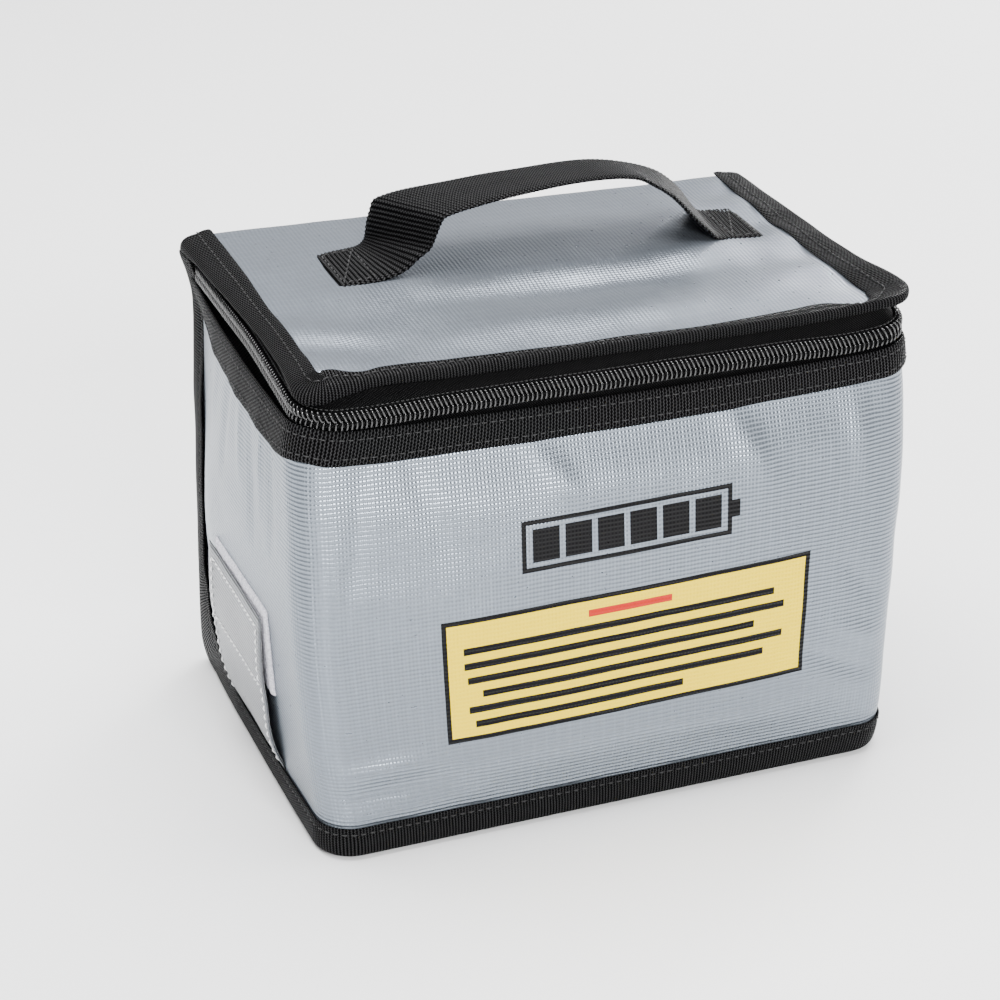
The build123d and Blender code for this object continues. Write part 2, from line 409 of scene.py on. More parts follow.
def front_print(n, along, across, colour, ridges):
    """Printed panel: a yellow field with a black frame, and plain bars in place of lines of text."""
    turned = n.math("MULTIPLY_ADD", along, -0.020, across)

    def inside(x, z, half_x, half_z):
        dx = n.math("ABSOLUTE", n.math("SUBTRACT", along, x))
        dz = n.math("ABSOLUTE", n.math("SUBTRACT", turned, z))
        return n.math("MULTIPLY", n.math("LESS_THAN", dx, half_x), n.math("LESS_THAN", dz, half_z))

    centre_x, centre_z = PANEL_CENTRE
    half_x, half_z = PANEL_HALF
    ink = (0.003, 0.003, 0.0035)
    yellow = (0.84, 0.60, 0.0)
    red = (0.45, 0.02, 0.012)
    # The yellow is painted lighter on the ridge crests, as a painted highlight.
    crest_lit_yellow = n.blend(n.math("MULTIPLY", ridges, 0.3), yellow, (0.92, 0.68, 0.01))
    panel = inside(centre_x, centre_z, half_x, half_z)
    colour = n.blend(panel, colour, ink)
    colour = n.blend(inside(centre_x, centre_z, half_x - 1.7, half_z - 1.7), colour, crest_lit_yellow)
    for row, (shift, length, tone) in enumerate(PANEL_BARS):
        z = centre_z + half_z - PANEL_FIRST_BAR - row * PANEL_BAR_PITCH
        shade = red if tone == "red" else ink
        colour = n.blend(inside(centre_x + shift, z, length / 2, PANEL_BAR_HALF), colour, shade)
    icon_x, icon_z = ICON_CENTRE
    outline = inside(icon_x, icon_z, ICON_HALF[0], ICON_HALF[1])
    hollow = inside(icon_x, icon_z, ICON_HALF[0] - 1.6, ICON_HALF[1] - 1.6)
    nub = inside(icon_x + ICON_HALF[0] + 1.4, icon_z, 1.5, 3.0)
    mark = n.math("MAXIMUM", n.math("SUBTRACT", outline, hollow), nub)
    for cell in range(ICON_CELLS):
        x = icon_x + (cell - (ICON_CELLS - 1) / 2) * ICON_CELL_PITCH
        mark = n.math("MAXIMUM", mark, inside(x, icon_z, ICON_CELL_PITCH / 2 - 1.0, ICON_HALF[1] - 3.2))
    return n.blend(mark, colour, ink), n.math("MAXIMUM", panel, mark)


def woven_tape(name, rib_pitch, yarn_pitch, high, depth, twill=0.0):
    """Black woven tape or webbing: ribs across it, broken up by its yarns, with painted highlights on their
    crests and painted shade in the dark gaps between them.
    """
    n = Nodes(name)
    along, across = n.cloth()
    drift = n.noise(n.vector(along, across), 0.15, 2.0)
    place = n.math("MULTIPLY_ADD", drift, 0.35, along)
    if twill:
        place = n.math("MULTIPLY_ADD", across, twill, place)
    ribs = n.wave(place, rib_pitch)
    half_step = n.math("MULTIPLY", n.math("FLOOR", n.math("DIVIDE", place, rib_pitch)), math.pi)
    angle = n.math("MULTIPLY_ADD", across, 2 * math.pi / yarn_pitch, half_step)
    yarns = n.math("MULTIPLY_ADD", n.math("COSINE", angle), 0.5, 0.5)
    fuzz = n.noise(n.vector(along, across), 2.2, 3.0, 0.65)
    height = n.math("MULTIPLY", ribs, n.math("MULTIPLY_ADD", yarns, 0.55, 0.45))
    n.bump(n.math("MULTIPLY_ADD", fuzz, 0.3, height), depth)
    # Painted light: tone makes the colour lighter on the rib and yarn crests as a painted highlight and near
    # black in the gaps as painted shade; it also lowers the specular in the gaps as painted shade.
    raised = n.math("POWER", n.math("MULTIPLY_ADD", yarns, 0.8, 0.2), 1.6)
    tone = n.math("MULTIPLY", n.math("POWER", ribs, 1.3), raised)
    tone = n.math("MULTIPLY", tone, n.between(fuzz, 0.1, 1.7))
    n.link(n.blend(tone, (0.0006, 0.0006, 0.0007), (high, high, high * 1.04)), n.shader.inputs["Base Color"])
    n.link(n.math("MULTIPLY", tone, 0.22), n.shader.inputs["Specular IOR Level"])
    n.set(Roughness=0.45)
    return n.material


def plain_cloth(name, colour, pitch):
    """Close plain weave."""
    n = Nodes(name)
    along, across = n.cloth()
    weave = n.math("MULTIPLY", n.wave(along, pitch), n.wave(across, pitch))
    other = n.math("MULTIPLY", n.wave(along, pitch, math.pi), n.wave(across, pitch, math.pi))
    both = n.math("ADD", weave, other)
    cloud = n.noise(n.vector(along, across), 0.06, 3.0)
    n.bump(both, 0.12)
    shade = n.blend(both, tuple(c * 0.72 for c in colour), colour)
    shade = n.blend(n.between(cloud, 0.0, 0.35), shade, tuple(c * 0.8 for c in colour))
    n.link(shade, n.shader.inputs["Base Color"])
    n.set(Roughness=0.75)
    return n.material


def pile_cloth(name, low, high, scale, depth):
    """Hook or loop pile: a dense field of tiny tufts."""
    n = Nodes(name)
    along, across = n.cloth()
    tufts = n.node("ShaderNodeTexVoronoi")
    n.link(n.vector(along, across), tufts.inputs["Vector"])
    tufts.inputs["Scale"].default_value = scale
    fuzz = n.noise(n.vector(along, across), scale * 2.1, 4.0, 0.7)
    height = n.math("MULTIPLY_ADD", fuzz, 0.8, n.math("SUBTRACT", 1.0, tufts.outputs["Distance"]))
    n.bump(height, depth)
    n.link(n.blend(tufts.outputs["Distance"], high, low), n.shader.inputs["Base Color"])
    n.set(Roughness=0.9)
    return n.material


def nylon(name, colour, rough):
    """Moulded or drawn nylon with faint streaks."""
    n = Nodes(name)
    along, across = n.cloth()
    streak = n.noise(n.vector(along, n.math("MULTIPLY", across, 3.0)), 0.8, 2.0)
    n.link(n.between(streak, rough * 0.8, rough * 1.3), n.shader.inputs["Roughness"])
    n.link(n.blend(streak, colour, tuple(c * 1.7 for c in colour)), n.shader.inputs["Base Color"])
    n.set(Specular_IOR_Level=0.75)
    return n.material


def thread(name, colour):
    """Twisted sewing thread."""
    n = Nodes(name)
    along, across = n.cloth()
    twist = n.wave(n.math("MULTIPLY_ADD", across, 0.12, along), 0.55)
    n.bump(twist, 0.06)
    n.link(n.blend(twist, tuple(c * 0.75 for c in colour), colour), n.shader.inputs["Base Color"])
    n.set(Roughness=0.5)
    return n.material


def enamel(name):
    """Black enamelled zinc with a fine orange-peel surface and paler edges where the enamel wears."""
    n = Nodes(name)
    place = n.node("ShaderNodeTexCoord").outputs["Object"]
    peel = n.noise(place, 900.0, 2.0)
    n.bump(peel, 0.03)
    edge = n.node("ShaderNodeNewGeometry").outputs["Pointiness"]
    wear = n.math("MULTIPLY", n.math("GREATER_THAN", edge, 0.56), peel)
    n.link(n.blend(wear, (0.012, 0.012, 0.013), (0.035, 0.035, 0.037)), n.shader.inputs["Base Color"])
    n.link(n.between(peel, 0.22, 0.42), n.shader.inputs["Roughness"])
    n.set(Metallic=0.6)
    return n.material


# Printed panel on the front, in cloth millimetres: along the strip, and height
PANEL_CENTRE, PANEL_HALF = (4.0, 60.4), (66.2, 22.3)
PANEL_FIRST_BAR, PANEL_BAR_PITCH, PANEL_BAR_HALF = 6.2, 5.4, 1.25
PANEL_BARS = [(0, 30, "red"), (-3, 112, "ink"), (-1, 116, "ink"), (-6, 104, "ink"), (2, 110, "ink"),
              (-4, 108, "ink"), (-18, 76, "ink")]
ICON_CENTRE, ICON_HALF = (3.0, 104.0), (37.0, 9.0)
ICON_CELLS, ICON_CELL_PITCH = 6, 11.4

WRAP = silver_fabric("silver_wrap", ridges_across=True, print_on_it=True)
# The lid, fold, back and base use the same silver cloth with a lighter tint, as painted light on the lid.
SPINE_PAINTED_LIGHTER = silver_fabric("silver_spine_painted_lighter", ridges_across=False, pitch=1.44, tint=(0.275, 0.306, 0.352),
                      relief=0.07)
# The cable port flap uses the same silver cloth with a darker tint, as painted shade on the left side.
FLAP_PAINTED_DARKER = silver_fabric("silver_flap_painted_darker", ridges_across=True, tint=(0.165, 0.173, 0.185))
LINING = plain_cloth("lining_cloth", (0.42, 0.43, 0.43), 1.2)
BINDING = woven_tape("binding_tape", 1.08, 0.9, 0.032, 0.32)
BAND = woven_tape("rim_webbing", 1.13, 1.0, 0.040, 0.40)
EAVE = woven_tape("lid_tape", 1.10, 0.8, 0.032, 0.30)
WEBBING = woven_tape("handle_webbing", 1.59, 1.15, 0.026, 0.46)
ZIP_TAPE = woven_tape("zip_tape_cloth", 0.9, 0.7, 0.012, 0.12, twill=0.9)
COIL = nylon("coil_nylon", (0.005, 0.005, 0.0053), 0.13)
BLACK_THREAD = thread("black_thread", (0.006, 0.006, 0.0065))
WHITE_THREAD = thread("white_thread", (0.97, 0.97, 0.97))
LOOP_PILE = pile_cloth("loop_pile", (0.50, 0.49, 0.56), (0.92, 0.91, 0.97), 1.4, 0.5)
HOOK_PILE = pile_cloth("hook_pile", (0.012, 0.012, 0.014), (0.13, 0.13, 0.15), 1.6, 0.4)
ENAMEL = enamel("black_enamel")


# ---------------------------------------------------------------- form of the standing bag

# Half widths by height, near the front corners and at the rear corners
LEFT_WALL = [(0, 103.3), (11, 103.6), (40, 107.0), (75, 109.4), (110, 109.3), (139, 108.6), (151.5, 106.0),
             (170, 105.5)]
RIGHT_WALL = [(0, 103.5), (7, 105.4), (15, 106.8), (40, 107.2), (55, 107.9), (64, 108.7), (79, 109.6),
              (95, 111.2), (113, 112.0), (124, 112.3), (139, 111.6), (151.5, 110.0), (170, 110.0)]
REAR_LEFT = [(0, 100.6), (12, 102.0), (40, 102.2), (110, 101.8), (146, 101.3), (155, 103.0), (163, 105.6),
             (170, 106.0)]
REAR_RIGHT = [(0, 102.5), (12, 105.0), (40, 107.0), (150, 107.5), (170, 107.5)]
FRONT_STATIONS = [(0, -72.6), (11, -72.6), (40, -72.0), (75, -69.8), (110, -66.0), (140, -61.8),
                  (150, rim_front), (170, rim_front)]
# Part of the sides' depth by which they have drawn in fully
NARROWED_BY = 0.92


def strip_place(s, half, front, radius=CORNER, back=rear, narrowing=0.0, power=2.0):
    """Point (x, y) and outward normal of a three-sided outline, at nominal strip length s from its middle.
    Its sides draw in by `narrowing` towards the back."""
    side, a = (1 if s >= 0 else -1), abs(s)
    if a <= FRONT_RUN:
        return side * (half - radius) * a / FRONT_RUN, front, Vector((0, -1, 0))
    if a <= FRONT_RUN + CORNER_RUN:
        turn = (a - FRONT_RUN) / CORNER_RUN * math.pi / 2
        x = half - radius + radius * math.sin(turn)
        y = front + radius - radius * math.cos(turn)
        return side * x, y, Vector((side * math.sin(turn), -math.cos(turn), 0))
    part = (a - FRONT_RUN - CORNER_RUN) / SIDE_RUN
    drawn = min(part / NARROWED_BY, 1.0)
    lean = narrowing * power * drawn ** (power - 1) / (NARROWED_BY * SIDE_RUN) if drawn < 1 else 0.0
    x = half - narrowing * drawn ** power
    return side * x, mix(front + radius, back, part), Vector((side, lean, 0)).normalized()


def strip_at_side(y, side):
    """Nominal strip length of a point of the side wall at depth y."""
    return side * (FRONT_RUN + CORNER_RUN + SIDE_RUN * (y - rim_front - CORNER) / (rear - rim_front - CORNER))


def rear_half(side, z):
    """Half width at the rear corner."""
    return through(REAR_LEFT if side < 0 else REAR_RIGHT, z)


# Creases in the wrap: two ends (strip length, height), width and depth; a positive depth stands out
CREASES = [
    ((-100, 22), (-62, 26), 3.0, -0.9), ((-104, 30), (-70, 33), 3.5, 0.8),
    ((-98, 14), (-50, 17), 2.5, 0.6), ((96, 34), (72, 46), 3.0, -1.0),
    ((100, 46), (80, 56), 3.0, 0.9), ((98, 60), (84, 78), 3.5, -0.7),
    ((-30, 138), (-12, 116), 4.0, 0.7), ((40, 138), (54, 112), 4.5, 0.8),
    ((-70, 136), (-60, 108), 4.0, -0.6), ((10, 30), (70, 22), 5.0, 0.6),
    ((86, 137), (90, 100), 4.0, 0.7), ((-86, 137), (-92, 92), 3.5, -0.6),
    ((-128, 139), (-131, 100), 2.4, -0.9), ((-140, 139), (-142, 108), 2.6, 0.9),
    ((-152, 139), (-150, 96), 2.6, -0.8), ((-166, 139), (-163, 112), 2.8, 0.8),
    ((-180, 139), (-186, 104), 3.0, -0.8), ((-200, 139), (-204, 112), 3.0, 0.7),
    ((130, 139), (134, 104), 3.0, -0.8), ((150, 139), (148, 110), 3.0, 0.8),
    ((176, 139), (182, 104), 3.2, -0.8), ((200, 20), (170, 60), 4.0, 0.8),
    ((120, 16), (150, 34), 3.5, -0.8), ((-214, 20), (-196, 62), 4.0, -0.8),
]


def crease_depth(s, z):
    total = 0.0
    for (s0, z0), (s1, z1), width, depth in CREASES:
        run = Vector((s1 - s0, z1 - z0))
        place = Vector((s - s0, z - z0))
        part = min(max(place.dot(run) / run.length_squared, 0.0), 1.0)
        distance = (place - run * part).length
        if distance < 3 * width:
            total += depth * math.exp(-(distance / width) ** 2) * math.sin(math.pi * (0.15 + 0.7 * part))
    return total


def wall(s, z, lift=0.0):
    """Point on the wrap's outer face and its outward normal in plan; lift moves it outwards."""
    side = -1 if s < 0 else 1
    half = through(LEFT_WALL if s < 0 else RIGHT_WALL, z)
    power = 2 + 6 * hill(z, 70, 34)
    front = through(FRONT_STATIONS, z) + (1.6 * min(max(s / FRONT_RUN, -1), 1) - 0.6) * ease((40 - z) / 40)
    x, y, normal = strip_place(s, half, front, narrowing=half - rear_half(side, z), power=power)
    free = ease((z - 9) / 22) * ease((141 - z) / 22)
    flat = math.cos(math.pi / 2 * min(abs(s) / (FRONT_RUN + 4), 1.0))
    bulge = 3.6 * flat ** 0.8 * free
    side_part = (abs(s) - FRONT_RUN - CORNER_RUN) / SIDE_RUN
    if side_part > 0:
        bulge += 0.6 * math.sin(math.pi * min(side_part, 1.0)) * free
    if s < 0:
        bulge -= 1.1 * hill(z, 58, 24) * hill(y, 0, 34)
    ripple = 0.55 * wobble(s, z * 0.8, 1, 34) + 0.22 * wobble(s, z, 2, 13)
    bulge += ripple * (0.25 + 0.75 * free) * ease((z - 3) / 12) * ease((148 - z) / 10)
    bulge += crease_depth(s, z)
    return Vector((x, y, z)) + normal * (bulge + lift), normal


def strip_values(count_front, count_corner, count_side, reach=STRIP):
    """Strip lengths from the left rear to the right rear, closer together at the corners."""
    half = steps(0, FRONT_RUN, count_front) + steps(FRONT_RUN, FRONT_RUN + CORNER_RUN, count_corner)
    half += steps(FRONT_RUN + CORNER_RUN, reach, count_side)
    return merge([-v for v in half], half)


# The cable slot, and how far in front of its ends the mesh has its own columns
SLOT_HALF, SLOT_LOW, SLOT_HIGH, SLOT_SHIFT = 20.0, 20.0, 32.0, 5.0


def in_slot(s, z):
    """True inside the cable slot in the left wall."""
    y = wall(s, z)[0].y
    return s < 0 and abs(s) > FRONT_RUN + CORNER_RUN and abs(y) < SLOT_HALF and SLOT_LOW < z < SLOT_HIGH


def wrap_sheet(name, inset, z_low, z_high, material, reach):
    slot_strip = [strip_at_side(y - SLOT_SHIFT, -1) for y in (-SLOT_HALF, SLOT_HALF)]
    values = merge(strip_values(70, 10, 44, reach), slot_strip)
    levels = merge(steps(z_low, z_high, 56), [SLOT_LOW, SLOT_HIGH])
    rows = [[wall(s, z, -inset)[0] for s in values] for z in levels]
    uvs = [(s, z) for z in levels for s in values]

    def skip(i, j):
        return in_slot((values[j] + values[j + 1]) / 2, (levels[i] + levels[i + 1]) / 2)

    return grid(name, rows, material, uvs=uvs, skip=skip)


def build_wrap():
    wrap = wrap_sheet("outer_wrap_cloth", 0.0, 1.4, wrap_top - WRAP_DROP, WRAP, STRIP - WRAP_GAP)
    soften(thicken(wrap, CLOTH_THICK))
    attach(wrap, "bag")
    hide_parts("outer_wrap")
    lining = wrap_sheet("wrap_lining_cloth", 1.6, 2.2, tape_low.z + 2, LINING, STRIP - LINING_GAP)
    thicken(lining, LINING_THICK)
    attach(lining, "bag")
    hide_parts("wrap_lining")


# ---------------------------------------------------------------- lid, fold, back and base in one sheet

# Inner edge of the lid's front tape: sideways place, and depth
FRONT_SEAM = [(-98, -45.4), (-91, -46.2), (-87, -49.0), (-82, -50.8), (-75, -49.6), (-50, -51.4),
              (-15, -52.8), (13, -53.4), (34, -54.4), (50, -53.2), (64, -52.0), (80, -51.2),
              (91, -55.5), (99, -53.0)]
# Outer edge of the lid's tape at the front and its end at the rear; its half widths by strip length
EAVE_FRONT, EAVE_REAR = -58.6, rear - 0.6
EAVE_LEFT = [(-236, 107.2), (-220, 106.6), (-193, 105.5), (-161, 104.2), (-134, 104.2), (-120, 105.2),
             (-108, 106.0)]
EAVE_RIGHT = [(108, 113.2), (118, 113.0), (140, 110.2), (193, 108.5), (236, 107.0)]
EAVE_CORNER = 11.0
EAVE_WIDTH = 11.0


def lid_level(x, y):
    """Height of the lid's upper face: a slightly twisted sheet with soft hollows and puckers."""
    sheet = 166.6 + 0.031 * y - 0.016 * x * (y + 60) / 125
    u = x / 97.0
    crown = 2.6 * max(1 - abs(u) ** 2.6, 0.0) * ease((y + 50) / 62) * ease((72 - y) / 50)
    valley = -2.2 * hill(y, -12, 10) * hill(x, 20, 52) + 1.0 * hill(y, -36, 11) * hill(x, 10, 70)
    pleat = 0.5 * math.sin((y + 0.35 * x) / 4.4) * ease((-u - 0.55) / 0.4) * hill(y, -28, 26)
    pucker = 0.42 * math.sin(y / 4.6 + 0.8 * wobble(x, y, 5, 20)) * ease((u - 0.62) / 0.36)
    ripple = 0.4 * wobble(x, y, 6, 30) + 0.18 * wobble(x, y, 7, 12)
    sunk = -0.7 * hill(x, -58, 15) * hill(y, 20, 18) - 1.2 * hill(x, 80, 14) * hill(y, 22, 20)
    return sheet + crown + valley + pleat + pucker + ripple + sunk


def lid_point(t, part, inset, drop):
    """Point of the lid's sheet: t from -1 at the left to 1 at the right, part from 0 at the front to 1 at the
    fold. `inset` draws its edges in, `drop` lowers it."""
    left, right = -97.4 + inset, mix(99.6, 97.0, part) - inset
    x = mix(left, right, (t + 1) / 2)
    y = mix(through(FRONT_SEAM, x) - 1.6 + inset, rear - FOLD_RADIUS, part)
    return Vector((x, y, lid_level(x, y) - drop))


# Rounding of the spine sheet over the fold and at the foot, and the heights between which it is the back
FOLD_RADIUS, TOE_DROP, BACK_FOOT, BACK_TOP = 5.5, 5.8, 6.0, 158.5


def back_x(t, z):
    """Sideways place on the back at height z."""
    return mix(1.2 - rear_half(-1, z), rear_half(1, z) - 1.2, (t + 1) / 2)


def spine_rows(inset):
    """Rows of the spine sheet from the lid's front edge over the fold, down the back and under the base."""
    rows, places = [], []
    across = steps(-1, 1, 84)
    path = [("lid", part) for part in steps(0, 1, 50)]
    path += [("fold", a) for a in steps(0, 90, 8)[1:]]
    path += [("back", z) for z in reversed(steps(BACK_FOOT, BACK_TOP, 62))]
    path += [("toe", a) for a in steps(0, 90, 6)]
    path += [("base", y) for y in reversed(steps(-68.5, rear - FOLD_RADIUS, 30))]
    for kind, value in path:
        row = []
        for t in across:
            if kind == "lid":
                point = lid_point(t, value, inset, inset)
            elif kind == "fold":
                start = lid_point(t, 1.0, inset, inset)
                angle = math.radians(value)
                y = start.y + (FOLD_RADIUS - inset) * math.sin(angle)
                z = BACK_TOP + (start.z - BACK_TOP) * math.cos(angle)
                x = mix(start.x, back_x(t, 150), ease(value / 90) * 0.35)
                point = Vector((x, y, z))
            elif kind == "back":
                widening = mix(0.35, 1.0, ease((BACK_TOP - value) / 22))
                x = mix(lid_point(t, 1.0, inset, inset).x, back_x(t, value), widening)
                belly = 1.6 * math.cos(math.pi / 2 * t) * math.sin(math.pi * (value - BACK_FOOT) / 152)
                ripple = 0.5 * wobble(x, value, 8, 32) + 0.25 * wobble(x, value, 9, 13)
                hold = ease((value - BACK_FOOT) / 20) * ease((160 - value) / 24) * ease((1 - abs(t)) / 0.12)
                point = Vector((x, rear - inset + (belly + ripple) * hold - 0.6 * (1 - hold), value))
            elif kind == "toe":
                angle = math.radians(value)
                y = rear - 6.1 + (FOLD_RADIUS - inset) * math.cos(angle)
                z = 6.7 - (TOE_DROP - inset) * math.sin(angle)
                point = Vector((back_x(t, 4), y, z))
            else:
                lift = 0.5 * (1 + wobble(back_x(t, 1), value, 10, 26)) * ease((1 - abs(t)) / 0.2)
                point = Vector((back_x(t, 1) * 0.985, value, 0.9 + inset + 0.5 * lift))
            row.append(point)
        rows.append(row)
        places.append(row[len(row) // 2])
    uvs = [(p.x, v) for row, v in zip(rows, running_lengths(places)) for p in row]
    return rows, uvs


def build_spine():
    rows, uvs = spine_rows(0.0)
    spine = grid("spine_sheet", rows, SPINE_PAINTED_LIGHTER, uvs=uvs)
    soften(thicken(spine, CLOTH_THICK))
    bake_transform(spine)
    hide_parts("lid_panel", "back_panel", "base_panel")
    rows, uvs = spine_rows(1.5)
    lining = grid("spine_lining", rows, LINING, uvs=uvs)
    thicken(lining, LINING_THICK)
    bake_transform(lining)
    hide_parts("lid_lining", "back_lining", "base_lining")


# ---------------------------------------------------------------- binding tapes and rim band

# Section of the seam binding, folded over the cloth's edge: part of its width, and height above the cloth
FOLDED_LEAF = [(0.06, -3.0), (-0.08, -3.1), (-0.12, -1.5), (-0.12, 0.3), (-0.07, 1.25), (0.06, 1.65),
               (0.3, 1.6), (0.55, 1.5), (0.68, 1.2), (0.76, 0.95), (0.84, 1.15), (0.95, 1.15), (1.0, 0.8),
               (1.0, 0.15), (0.5, 0.1), (0.06, 0.1)]
# Where the left gusset, which joins the upright tape to the level one, meets each of them
GUSSET_Y, GUSSET_Z = 22.0, 46.0


def wall_binding_stations():
    """Outer edge, inner edge and normal of the seam binding: down the rear left, round the base and up the
    rear right."""
    bottom, width, top_z, radius = 2.05, 9.6, 164.4, 7.0
    tuck = [(12, 0.8), (60, 1.2), (110, 0.5), (140, -1.1), (160, -0.6)]
    stations = []

    def upright(side, z):
        half = rear_half(side, z) + 0.35 * wobble(z, side * 9, 11, 16)
        edge = Vector((side * half, rear - 0.1, z))
        inner_y = rear - width + 0.4 * wobble(z, side * 5, 12, 22)
        return edge, Vector((side * (half + through(tuck, z)), inner_y, z)), Vector((side, 0, 0))

    def gusset(part):
        """Where the left upright tape widens and turns into the level one."""
        down, bend = GUSSET_Z - bottom - radius, radius * math.pi / 2
        along = rear - 0.1 - radius - GUSSET_Y
        reached = part * (down + bend + along)
        turn = min(max((reached - down) / radius, 0.0), math.pi / 2)
        y = rear - 0.1 - radius * (1 - math.cos(turn)) - max(reached - down - bend, 0.0)
        z = bottom + radius * (1 - math.sin(turn)) + max(down - reached, 0.0)
        foot, _ = wall(strip_at_side(y, -1), z)
        edge = Vector((mix(-rear_half(-1, z), foot.x, ease((rear - 4 - y) / 20)), y, z))
        turn = math.pi / 2 * part
        y = GUSSET_Y + (rear - width - GUSSET_Y) * math.cos(turn) ** 0.9
        z = GUSSET_Z - (GUSSET_Z - bottom - width) * math.sin(turn) ** 0.9
        inner, _ = wall(strip_at_side(y, -1), z, 0.2)
        inner = upright(-1, z)[1].lerp(inner, ease(part / 0.2))
        inner.y, inner.z = y, z
        return edge, inner, Vector((-1, 0, 0))

    def corner(angle):
        turn = math.radians(angle)
        half = rear_half(1, 6)
        edge = Vector((half, rear - 0.1 - radius * (1 - math.cos(turn)),
                       bottom + radius * (1 - math.sin(turn))))
        inner = Vector((half + 0.3, mix(rear - width, rear - width - 1.6, angle / 90),
                        mix(bottom + width + 1.5, bottom + width, angle / 90)))
        return edge, inner, Vector((1, 0, 0))

    def level(s):
        low, normal = wall(s, bottom)
        low.z = bottom
        high, _ = wall(s, bottom + width + 0.5 * wobble(s, 0, 13, 25) - 1.2 * hill(s, -170, 30))
        return low, high, normal

    stations += [upright(-1, z) for z in steps(top_z, GUSSET_Z, 60)]
    stations += [gusset(part) for part in steps(0, 1, 30)[1:-1]]
    stations += [level(s) for s in strip_values(60, 10, 36, strip_at_side(rear - 10.5, 1))
                 if s > strip_at_side(GUSSET_Y, -1)]
    stations += [corner(angle) for angle in reversed(steps(0, 90, 9))]
    stations += [upright(1, z) for z in steps(bottom + radius + 1.6, top_z, 70)]
    return stations


def surface_line(stations, w, n):
    """Points and normals along a swept tape, at a fraction of its width and a height above it."""
    points = [outer + (inner - outer) * w + normal * n for outer, inner, normal in stations]
    return points, [normal for _, _, normal in stations]


def build_seam_binding():
    stations = wall_binding_stations()
    binding = section_sweep("seam_binding_tape", stations, FOLDED_LEAF, BINDING)
    soften(binding)
    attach(binding, "bag")
    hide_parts("seam_binding")
    points, normals = surface_line(stations, 0.76, 1.05)
    row = stitches("seam_binding_stitches", points, normals, BLACK_THREAD)
    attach(row, "bag")


# Section of the rim band, drawn in along its two rows of stitches
BAND_SECTION = [(0.0, 0.15), (-0.03, 0.7), (0.0, 1.25), (0.12, 1.5), (0.22, 1.3), (0.30, 1.5), (0.5, 1.6),
                (0.7, 1.5), (0.78, 1.3), (0.88, 1.5), (1.0, 1.2), (1.03, 0.7), (1.0, 0.15), (0.5, 0.1)]
# Height of the rim band's lower and upper edges by strip length
BAND_LOW = [(-231, 146.5), (-219, 143.5), (-205, 139.8), (-190, 139.0), (-125, 139.0), (-106, 141.4),
            (-97, 139.9), (-73, 138.4), (31, 138.4), (68, 139.5), (97, 140.6), (107, 142.2), (130, 141.5),
            (231, 140.5)]
BAND_HIGH = [(-231, 155.5), (-219, 153.5), (-205, 151.6), (-125, 151.4), (-106, 152.2), (-90, 150.4),
             (0, 149.4), (90, 150.2), (107, 152.0), (231, 151.0)]


def band_stations():
    """Rim band: lower edge, upper edge and normal from the left rear to the right rear."""
    stations = []
    for s in strip_values(64, 10, 44, STRIP - BAND_GAP):
        low_z = through(BAND_LOW, s) + 0.4 * wobble(s, 3, 14, 30)
        high_z = through(BAND_HIGH, s) + 0.3 * wobble(s, 9, 15, 26)
        low, normal = wall(s, low_z, 0.1)
        high, _ = wall(s, high_z, 0.1 + 0.4 * hill(s, 0, 100))
        low += normal * (0.5 * hill(s, 10, 60) + 0.25 * wobble(s, 5, 16, 18))
        stations.append((low, high, normal))
    return stations


def build_rim_band():
    stations = band_stations()
    band = section_sweep("rim_band_webbing", stations, BAND_SECTION, BAND)
    soften(band)
    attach(band, "bag")
    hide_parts("rim_band")
    rows = []
    for number, w in enumerate((0.22, 0.78)):
        points, normals = surface_line(stations, w, 1.45)
        rows.append(stitches(f"band_row_{number}", points, normals, BLACK_THREAD, radius=0.24))
    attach(join("rim_band_stitches", rows), "bag")


# Heights of the lid tape's ridge and of its lip, by strip length
RIDGE_LEVEL = [(-236, 168.0), (-222, 167.2), (-193, 166.0), (-161, 165.2), (-134, 165.0), (-118, 164.0),
               (-105, 162.4), (-92, 164.6), (-80, 165.6), (-40, 165.5), (0, 165.5), (60, 165.6),
               (85, 166.4), (100, 167.6), (112, 168.2), (125, 168.0), (150, 166.6), (193, 166.0),
               (236, 165.8)]
LIP_DROP = [(-236, 4.2), (-226, 2.6), (-214, 1.3), (-125, 1.4), (-113, 2.6), (-104, 3.6), (-94, 3.4),
            (-80, 2.4), (-60, 3.0), (60, 3.3), (90, 2.8), (104, 3.0), (114, 1.8), (125, 1.2), (236, 1.2)]


def eave_lines(s):
    """Inner edge, ridge and lip of the lid's tape at nominal strip length s."""
    half = through(EAVE_LEFT if s < 0 else EAVE_RIGHT, s)
    curl = 0.35 * wobble(s, 1, 17, 18)
    x, y, normal = strip_place(s, half + curl, EAVE_FRONT, EAVE_CORNER, EAVE_REAR)
    level = through(RIDGE_LEVEL, s) + 0.3 * wobble(s, 2, 18, 24)
    lip = Vector((x, y, level - through(LIP_DROP, s)))
    ridge = Vector((x, y, level)) - normal * 0.9
    inner_half = 95.7 if s < 0 else mix(98.6, 95.6, ease((s - 110) / 100))
    x, y, _ = strip_place(s, inner_half, EAVE_FRONT + EAVE_WIDTH, 1.5, EAVE_REAR)
    front_part = 1 - ease((abs(s) - FRONT_RUN + 4) / 12)
    y = mix(y, through(FRONT_SEAM, x), front_part)
    x += 0.5 * wobble(s, 7, 26, 13) * (1 - front_part)
    rise = 0.3 * math.sin(s / 3.4) * ease((s - 130) / 30)
    inner = Vector((x, y, lid_level(x, y) + 0.5 + rise))
    return inner, ridge, lip


# Thickness of the doubled tape round the lid
LEAF_THICK = 1.5


